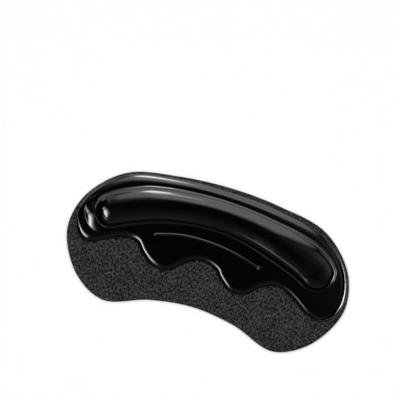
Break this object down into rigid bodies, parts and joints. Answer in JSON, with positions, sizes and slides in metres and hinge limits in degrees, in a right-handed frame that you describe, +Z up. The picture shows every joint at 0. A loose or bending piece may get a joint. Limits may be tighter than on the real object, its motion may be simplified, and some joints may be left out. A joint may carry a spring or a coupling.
{
  "type": "heel grip",
  "caption": "Kidney-shaped stick-on heel grip: a napped fabric backing carries a glossy gel cushion with a rounded rim, a raised curved ridge and a scalloped lower edge.",
  "frame": {"origin": "middle of the underside, at the centre of the bounding box", "axes": "+X along the grip's length, +Y to its full rounded edge, +Z up through the cushion"},
  "size_m": [0.098, 0.0496, 0.0049],
  "materials": {
    "fabric": "matt black with a short nap",
    "gel": "smooth gloss black"
  },
  "bodies": {
    "root": {"fabric_backing": "fabric", "gel_cushion": "gel"}
  },
  "joints": []
}
